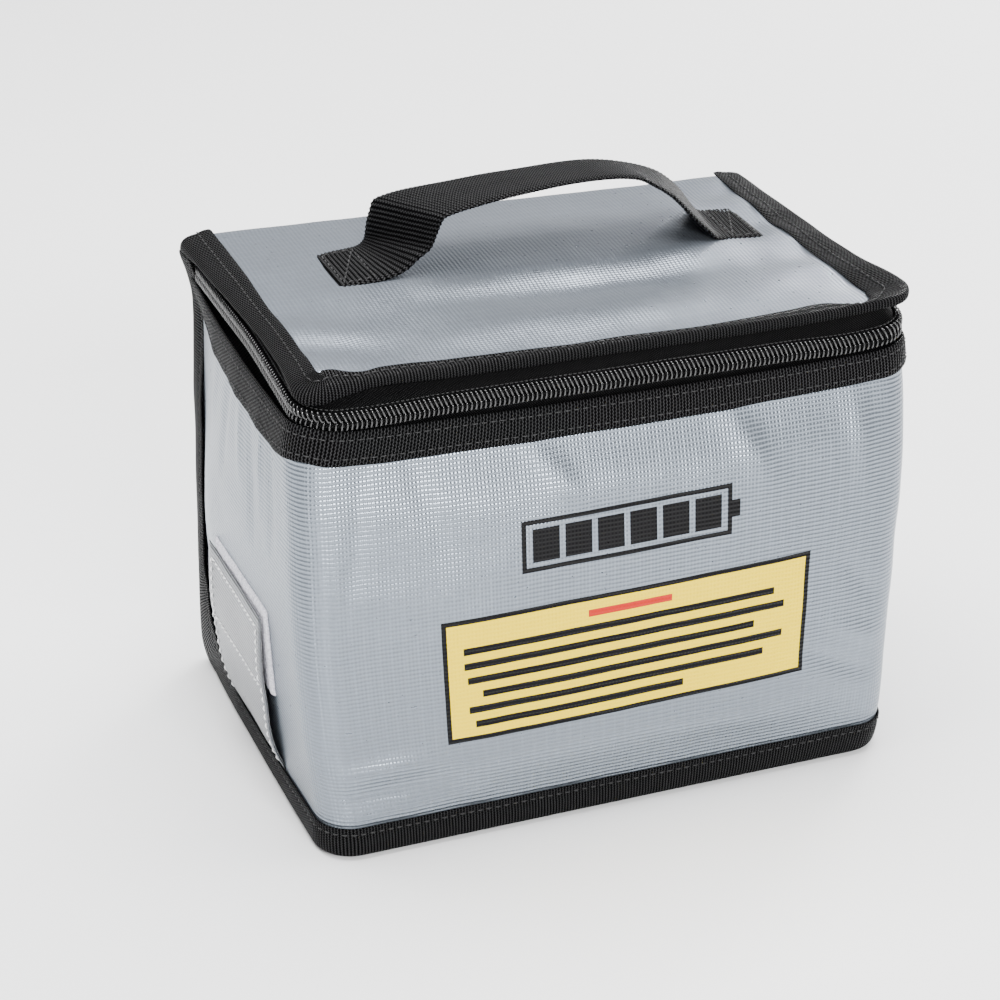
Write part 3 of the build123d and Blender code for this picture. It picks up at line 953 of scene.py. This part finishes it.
def leaf_section(inner, ridge, lip):
    """Closed section of a doubled tape: over the top from its inner edge to its lip, and back underneath."""
    bend_start, bend_end = inner.lerp(ridge, 0.78), ridge.lerp(lip, 0.4)
    top = [inner.lerp(bend_start, t) for t in steps(0, 1, 6)]
    for t in steps(0, 1, 4)[1:]:
        top.append(bend_start.lerp(ridge, t).lerp(ridge.lerp(bend_end, t), t))
    top += [bend_end.lerp(lip, t) for t in (0.5, 1.0)]
    out, under = [], []
    for k, point in enumerate(top):
        ahead, behind = top[min(k + 1, len(top) - 1)], top[max(k - 1, 0)]
        along = (ahead - behind).normalized()
        flat = Vector((along.x, along.y, 0))
        level = flat if flat.length > 0.05 else Vector((lip.x - inner.x, lip.y - inner.y, 0))
        sideways = level.normalized()
        up = UP * flat.length - sideways * along.z
        up.normalize()
        pinch = 0.35 * hill(k, 3.5, 0.8)
        ends = 0.25 if k in (0, len(top) - 1) else 0.5
        out.append(point + up * (LEAF_THICK * (ends - 0.25) - pinch))
        under.append(point - up * LEAF_THICK * ends)
    return out + under[::-1]


def build_lid_binding():
    places = strip_values(64, 18, 48, STRIP)
    lines = [eave_lines(s) for s in places]
    rows = [leaf_section(*line) for line in lines]
    width = len(rows[0]) // 2
    across = [EAVE_WIDTH * k / (width - 1) for k in range(width)]
    lengths = running_lengths([ridge for _, ridge, _ in lines])
    uvs = [(u, v) for u in lengths for v in across + across[::-1]]
    eave = grid("lid_binding_tape", rows, EAVE, loop=True, caps=True, uvs=uvs)
    soften(eave)
    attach(eave, "lid")
    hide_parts("lid_binding")
    points = [(row[3] + row[4]) / 2 + Vector((0, 0, 0.25)) for row in rows]
    row = stitches("lid_binding_stitches", points, [UP] * len(points), BLACK_THREAD, radius=0.22)
    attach(row, "lid")


# ---------------------------------------------------------------- zip

TAPE_THICK = 0.7
# Spacing of the coil's turns, and how far each coil's middle lies from the zip's middle
COIL_PITCH = 1.68
COIL_SPLIT = 1.42
# Height of the closed zip's middle, and the half widths of its tapes' outer face
CHAIN_LEVEL = [(-236, 158.3), (-164, 158.2), (-130, 156.4), (-112, 154.9), (-86, 154.1), (-60, 154.8),
               (60, 154.9), (86, 154.3), (102, 155.7), (113, 156.9), (118, 157.0), (236, 157.0)]
ZIP_LEFT = [(-236, 101.8), (-164, 102.4), (-125, 103.8), (-108, 104.0)]
ZIP_RIGHT = [(106, 108.4), (113, 107.7), (206, 107.7), (236, 107.2)]


def chain_level(s):
    return through(CHAIN_LEVEL, s)


def zip_place(s, z, lift=0.0):
    """Point on the zip tapes' outer face, which stands a little inside the wrap's rim."""
    half = through(ZIP_LEFT if s < 0 else ZIP_RIGHT, s)
    x, y, normal = strip_place(s, half, tape_low.y)
    swell = 0.7 * hill(abs(s), 0, 70) + 0.3 * wobble(s, 4, 19, 34) * (1 - ease((s - 90) / 20))
    return Vector((x, y, z)) + normal * (swell + lift), normal


def build_zip_tapes():
    values = strip_values(60, 10, 40, STRIP - TAPE_GAP)
    rows = [[zip_place(s, mix(tape_low.z + 1, chain_level(s) - 0.4, part))[0] for s in values]
            for part in steps(0, 1, 6)]
    uvs = [(s, 12 * part) for part in steps(0, 1, 6) for s in values]
    lower = grid("zip_tape_lower_cloth", rows, ZIP_TAPE, uvs=uvs)
    thicken(lower, TAPE_THICK)
    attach(lower, "bag")
    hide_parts("zip_tape_lower")

    rows, uvs = [], []
    for part in steps(0, 1, 10):
        row = []
        for s in values:
            start, normal = zip_place(s, chain_level(s) + 0.5)
            inner, ridge, _ = eave_lines(s)
            end = ridge.lerp(inner, 0.55) - Vector((0, 0, 1.6))
            bend = start + Vector((0, 0, 4.4)) - normal * 1.2
            row.append(start.lerp(bend, part).lerp(bend.lerp(end, part), part))
            uvs.append((s, part * 15))
        rows.append(row)
    upper = grid("zip_tape_upper_cloth", rows, ZIP_TAPE, uvs=uvs)
    thicken(upper, TAPE_THICK)
    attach(upper, "lid")
    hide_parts("zip_tape_upper")


def coil(name, shift, heads_up, s_low, s_high):
    """One row of the zip: a drawn nylon wire wound round its filler cord, with flattened heads."""
    half_height, half_depth, wire = 1.64, 0.92, 0.37
    around, sides = 16, 6
    total = int((s_high - s_low) / COIL_PITCH) * around
    centre_line = []
    for k in range(total + 1):
        phase = 2 * math.pi * k / around
        s = s_low + COIL_PITCH * k / around
        lean = 0.30 * COIL_PITCH * math.cos(phase) * heads_up
        up = math.cos(phase)
        up = math.copysign(abs(up) ** 0.8, up)
        out = math.sin(phase)
        base, normal = zip_place(s + lean, chain_level(s) + shift)
        centre_line.append(base + Vector((0, 0, up * half_height)) + normal * (1.25 + out * half_depth))
    rows = []
    for k, point in enumerate(centre_line):
        ahead = centre_line[min(k + 1, total)]
        behind = centre_line[max(k - 1, 0)]
        direction = (ahead - behind).normalized()
        side = direction.cross(Vector((0.13, 0.21, 0.97))).normalized()
        other = direction.cross(side)
        turns = [2 * math.pi * j / sides for j in range(sides)]
        rows.append([point + side * math.cos(a) * wire + other * math.sin(a) * wire for a in turns])
    uvs = [(k * 0.4, j * 0.5) for k in range(total + 1) for j in range(sides)]
    wound = grid(name, rows, COIL, loop=True, caps=True, uvs=uvs)
    rings = []
    for s in steps(s_low, s_high, 200):
        base, normal = zip_place(s, chain_level(s) + shift)
        middle = base + normal * 1.2
        rings.append([middle + Vector((0, 0, math.cos(a))) * 1.0 + normal * math.sin(a) * 0.55
                      for a in steps(0, 2 * math.pi, 8)[:-1]])
    cord = grid(name + "_cord", rings, ZIP_TAPE, loop=True, caps=True)
    return join(name, [wound, cord])


def build_zip_coils():
    left = strip_at_side(coil_rear, -1)
    lower = coil("zip_coil_lower_wire", -COIL_SPLIT, 1, left, strip_at_side(coil_rear, 1))
    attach(lower, "bag")
    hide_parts("zip_coil_lower")
    upper = coil("zip_coil_upper_wire", COIL_SPLIT, -1, left + COIL_PITCH / 2,
                 strip_at_side(slider_front - 0.8, 1))
    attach(upper, "lid")
    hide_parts("zip_coil_upper")
    values = strip_values(60, 10, 40, strip_at_side(coil_rear, 1))
    for body, shift, name in (("bag", -COIL_SPLIT - 2.2, "coil_stitches_lower"),
                              ("lid", COIL_SPLIT + 2.2, "coil_stitches_upper")):
        places = [zip_place(s, chain_level(s) + shift, 0.15) for s in values]
        row = stitches(name, [p for p, _ in places], [n for _, n in places], BLACK_THREAD, 1.3, 0.38, 0.2)
        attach(row, body)


def build_slider():
    """The slider and its pull keep their CAD shape, with rounded edges and enamel."""
    for name in ("zip_slider", "zip_pull"):
        obj = frame["nodes"][name]
        bevel = obj.modifiers.new("round_edges", "BEVEL")
        bevel.width = 0.25 * TO_METRES
        bevel.segments = 3
        bevel.limit_method = "ANGLE"
        if not obj.data.materials:
            obj.data.materials.append(None)
        for slot in obj.material_slots:
            slot.material = ENAMEL


# ---------------------------------------------------------------- handle

STRAP_WIDTH, STRAP_THICK = 30, 1.5
# Spacing of the webbing's ribs
RIB = 1.59
# Strap from left to right: place and height above its foot, of the front edge and then of the rear edge
STRAP_STATIONS = [
    (-69, -2.0, -69, 2.2), (-61, -1.6, -62, 2.9), (-52.5, -0.6, -55.6, 3.4), (-46, 1.4, -52.6, 4.0),
    (-41, 5.0, -50.6, 5.6), (-37, 7.6, -49.9, 7.6), (-34.6, 11.8, -49.0, 12.2), (-33, 15.2, -47.8, 15.8),
    (-31.4, 17.5, -46.5, 18.8), (-28.6, 18.5, -43.6, 20.0), (-22, 19.8, -36, 21.2), (-8, 21.8, -20, 22.2),
    (4, 23, -6, 23.1), (15, 23.8, 6, 23.4), (26, 23.9, 20, 23.9), (35, 23.3, 31, 23.7), (42, 21.7, 40, 22.5),
    (48, 18, 50, 20.1), (53, 14.2, 58, 17.1), (57, 10, 63, 13.7), (60.5, 6, 67, 9.8), (65.0, 1.6, 70.6, 4.6),
    (70.0, -2.8, 74.0, 0.8), (77.2, -4.2, 80, 0.0), (87.6, -4.4, 87.6, -0.6),
]
# Place of the strap's middle and half its width, height of its foot, rise of its front edge, lean with height
STRAP_MIDDLE, STRAP_REACH, STRAP_FOOT, STRAP_TILT, STRAP_LEAN = 23.0, 14.6, 168.5, 1.87, 0.129
# Box stitches on the sewn ends: left and right edge of each, and the front and rear edge of both
STRAP_BOXES = ((-67.0, -56.0), (76.5, 86.0))
BOX_DEPTH = (11, 35)


def strap_edge(x, height, side):
    """Point of the strap's edge; side is -1 for the front edge and 1 for the rear one."""
    y = STRAP_MIDDLE + max(height, 0) * STRAP_LEAN + side * STRAP_REACH
    return Vector((x, y, STRAP_FOOT + height - side * STRAP_TILT))


def strap_rows():
    """Rows of points round the strap's section, following its two edges with ribs across it."""
    pairs = [(strap_edge(a, h, -1), strap_edge(b, g, 1)) for a, h, b, g in STRAP_STATIONS]
    knots = running_lengths([(a + b) / 2 for a, b in pairs])
    front = [(k, a) for k, (a, _) in zip(knots, pairs)]
    back = [(k, b) for k, (_, b) in zip(knots, pairs)]
    lengths = steps(0, knots[-1], 1000)
    middle = [(through(front, k), through(back, k)) for k in lengths]
    across = steps(0, 1, 14)
    rows = []
    for k, (a, b) in enumerate(middle):
        (a0, b0), (a1, b1) = middle[max(k - 4, 0)], middle[min(k + 4, len(middle) - 1)]
        direction = ((a1 + b1) - (a0 + b0)).normalized()
        width = (b - a).normalized()
        normal = direction.cross(width).normalized()
        rib = 0.17 * math.cos(2 * math.pi * lengths[k] / RIB)
        end = ease(min(lengths[k], lengths[-1] - lengths[k]) / 0.8)
        half = STRAP_THICK / 2 * (0.45 + 0.55 * end) + rib
        top, bottom = [], []
        for w in across:
            edge = ease(min(w, 1 - w) / 0.06)
            thick = half * (0.35 + 0.65 * edge)
            spread = 0.16 * math.cos(2 * math.pi * lengths[k] / RIB) * (1 - edge) * (1 if w > 0.5 else -1)
            centre = a.lerp(b, w) + width * spread
            top.append(centre + normal * thick)
            bottom.append(centre - normal * thick)
        rows.append(top + bottom[::-1])
    return rows, lengths, across


def build_handle():
    rows, lengths, across = strap_rows()
    ring = [w * STRAP_WIDTH for w in across + across[::-1]]
    uvs = [(length, w) for length in lengths for w in ring]
    strap = grid("handle_webbing_strap", rows, WEBBING, loop=True, caps=True, uvs=uvs)
    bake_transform(strap)
    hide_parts("handle_strap", "handle_end_left", "handle_end_right")
    boxes = []
    for number, (x_low, x_high) in enumerate(STRAP_BOXES):
        for cross in (0, 1):
            front, back = BOX_DEPTH
            corners = [(x_low, front), (x_high, front), (x_high, back), (x_low, back), (x_low, front)]
            if cross:
                corners = [(x_low, front), (x_high, back)]
            line = []
            for (x0, y0), (x1, y1) in zip(corners, corners[1:]):
                line += [Vector((mix(x0, x1, t), mix(y0, y1, t), 0)) for t in steps(0, 1, 12)[:-1]]
            line.append(Vector((*corners[-1], 0)))
            for point in line:
                point.z = strap_level(point.x, point.y)
            boxes.append(stitches(f"box_{number}_{cross}", line, [UP] * len(line), BLACK_THREAD))
    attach(join("handle_box_stitches", boxes), "lid")


def strap_level(x, y):
    """Height of the sewn ends' upper face."""
    front = through([(a, strap_edge(a, h, -1).z) for a, h, _, _ in STRAP_STATIONS], x)
    back = through([(b, strap_edge(b, g, 1).z) for _, _, b, g in STRAP_STATIONS], x)
    return mix(front, back, (y - 8) / 30) + STRAP_THICK / 2 + 0.1


# ---------------------------------------------------------------- cable port flap

FLAP_HALF = flap_high.y
# Outer face of the flap: sideways place by height
FLAP_LINE = [(flap_low.z - 1.6, -103.6), (18, -107.0), (26, -109.2), (38, -110.5), (48, -111.7), (59, -111.9),
             (flap_high.z, -111.7)]


def flap_place(y, z, depth):
    """Point of the flap, with depth counted inwards from its outer face."""
    ripple = 0.25 * wobble(y, z, 21, 17)
    y *= 1 - 0.16 * ease((44 - z) / 34) * (1 if y > 0 else 0)
    return Vector((through(FLAP_LINE, z) + 0.010 * (y + FLAP_HALF) + ripple + depth, y, z))


def slab(name, y_low, y_high, z_low, z_high, depth_low, depth_high, material, rounded=0.5):
    """Closed cloth slab on the flap's curve, with soft edges."""
    wide, high = steps(y_low, y_high, 26), steps(z_low, z_high, 24)
    rows = []
    for z in high:
        far, near = [], []
        for y in wide:
            edge = min(ease((y - y_low) / 1.4), ease((y_high - y) / 1.4), ease((z_high - z) / 1.4))
            tuck = (1 - edge) * rounded * (depth_high - depth_low) / 2
            far.append(flap_place(y, z, depth_low + tuck))
            near.append(flap_place(y, z, depth_high - tuck))
        rows.append(far + near[::-1])
    uvs = [(y, z) for z in high for y in wide + wide[::-1]]
    return grid(name, rows, material, loop=True, caps=True, uvs=uvs)


def build_port():
    flap = slab("port_flap_cloth", -FLAP_HALF, FLAP_HALF, flap_low.z - 1.2, flap_high.z, 0.0, CLOTH_THICK,
                FLAP_PAINTED_DARKER)
    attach(flap, "port_flap")
    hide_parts("port_flap")
    hem = slab("port_flap_hem", -FLAP_HALF + CLOTH_THICK, FLAP_HALF - CLOTH_THICK, flap_low.z,
               flap_high.z - CLOTH_THICK, CLOTH_THICK, 1.1, LINING)
    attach(hem, "port_flap")
    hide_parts("port_flap_backing")
    hook = slab("hook_strip", hook_low.y, hook_high.y, hook_low.z, hook_high.z, 1.1, 1.9, HOOK_PILE, 0.3)
    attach(hook, "port_flap")
    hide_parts("port_hook_tape")

    pad_top = pad_high.z + 1.6
    rows, uvs = [], []
    wide = steps(pad_low.y + 2.5, pad_high.y + 1.0, 60)
    for z in steps(pad_low.z, pad_top, 34):
        row = []
        for y in wide + wide[::-1]:
            outside = len(row) < len(wide)
            base, _ = wall(strip_at_side(y, -1), z)
            edge = min(ease((y - wide[0]) / 1.2), ease((wide[-1] - y) / 1.2), ease((pad_top - z) / 1.5))
            tufts = 0.35 * wobble(y, z, 23, 1.6) + 0.2 * wobble(y, z, 24, 0.8)
            lift = mix(0.4, 1.2, edge) + tufts if outside else 0.05
            row.append(base - Vector((lift, 0, 0)))
            uvs.append((y, z))
        rows.append(row)
    pad = grid("loop_pad", rows, LOOP_PILE, loop=True, caps=True, uvs=uvs)
    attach(pad, "bag")
    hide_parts("port_loop_pad")

    top, low, foot, edge, hem = hook_high.z - 0.6, hook_low.z + 0.2, flap_low.z + 1, 26.4, FLAP_HALF - 2.0
    seams = [[(-edge, top), (edge, top), (edge, low), (-edge, low), (-edge, top)],
             [(-hem, low), (-hem, foot)], [(hem, low), (hem, foot)]]
    rows = []
    for number, corners in enumerate(seams):
        line = []
        for (y0, z0), (y1, z1) in zip(corners, corners[1:]):
            line += [flap_place(mix(y0, y1, t), mix(z0, z1, t), -0.1) for t in steps(0, 1, 24)[:-1]]
        line.append(flap_place(*corners[-1], -0.1))
        rows.append(stitches(f"flap_row_{number}", line, [Vector((-1, 0, 0))] * len(line), WHITE_THREAD,
                             2.6, 0.9, 0.32))
    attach(join("port_flap_stitches", rows), "port_flap")


# ---------------------------------------------------------------- floor, light and camera

def build_stage():
    n = Nodes("pale_floor")
    grain = n.noise(n.node("ShaderNodeTexCoord").outputs["Object"], 3.0, 2.0)
    n.link(n.blend(grain, (0.86, 0.86, 0.86), (0.90, 0.90, 0.90)), n.shader.inputs["Base Color"])
    n.set(Roughness=0.7)
    size = 3000
    floor = make_object("floor", [(-size, -size, 0), (size, -size, 0), (size, size, 0), (-size, size, 0)],
                        [(0, 1, 2, 3)], [(0, 0), (1, 0), (1, 1), (0, 1)], n.material)

    world = bpy.data.worlds.new("studio")
    bpy.context.scene.world = world
    world.use_nodes = True
    tree = world.node_tree
    height = tree.nodes.new("ShaderNodeSeparateXYZ")
    tree.links.new(tree.nodes.new("ShaderNodeTexCoord").outputs["Generated"], height.inputs[0])
    ramp = tree.nodes.new("ShaderNodeValToRGB")
    ramp.color_ramp.elements[0].position = 0.0
    ramp.color_ramp.elements[0].color = (1.0, 1.0, 1.0, 1.0)
    ramp.color_ramp.elements[1].position = 1.0
    ramp.color_ramp.elements[1].color = (0.75, 0.76, 0.78, 1.0)
    for position, value in ((0.14, 0.92), (0.42, 0.66), (0.66, 0.34)):
        ramp.color_ramp.elements.new(position).color = (value, value, value * 1.02, 1.0)
    tree.links.new(height.outputs[2], ramp.inputs[0])
    tree.links.new(ramp.outputs[0], tree.nodes["Background"].inputs[0])
    tree.nodes["Background"].inputs[1].default_value = 0.9


# Soft lights, all turned to one point: name, place and size in metres, power in watts
LIT_POINT = Vector((0, 0, 0.1))
SOFTBOXES = [
    ("key", (-0.05, -1.45, 0.95), (0.6, 0.25), 36),
    ("top", (0.0, 0.30, 1.5), (1.8, 1.2), 80),
    ("rear_right", (1.15, 1.05, 0.55), (0.5, 0.35), 18),
    ("left", (-0.95, -1.25, 0.40), (0.2, 0.7), 6),
]


def build_lights():
    for name, place, size, power in SOFTBOXES:
        light = bpy.data.lights.new(name, "AREA")
        light.shape = "RECTANGLE"
        light.size, light.size_y = size
        light.energy = power
        obj = bpy.data.objects.new(name, light)
        bpy.context.scene.collection.objects.link(obj)
        obj.location = place
        obj.rotation_euler = (LIT_POINT - Vector(place)).to_track_quat("-Z", "Y").to_euler()


# Focal length and film width in millimetres, place in metres, turn in degrees
CAMERA_LENS, CAMERA_FILM = 111.18, 36.0
CAMERA_PLACE = (-0.3736, -0.8934, 0.5679)
CAMERA_TURN = (63.337, -0.814, -21.514)


def build_camera():
    camera = bpy.data.cameras.new("camera")
    camera.sensor_width = CAMERA_FILM
    camera.lens = CAMERA_LENS
    camera.clip_start = 0.05
    obj = bpy.data.objects.new("camera", camera)
    bpy.context.scene.collection.objects.link(obj)
    obj.location = CAMERA_PLACE
    obj.rotation_euler = [math.radians(angle) for angle in CAMERA_TURN]
    bpy.context.scene.camera = obj


build_camera()
build_stage()
build_lights()
build_wrap()
build_spine()
build_seam_binding()
build_rim_band()
build_lid_binding()
build_zip_tapes()
build_zip_coils()
build_slider()
build_handle()
build_port()
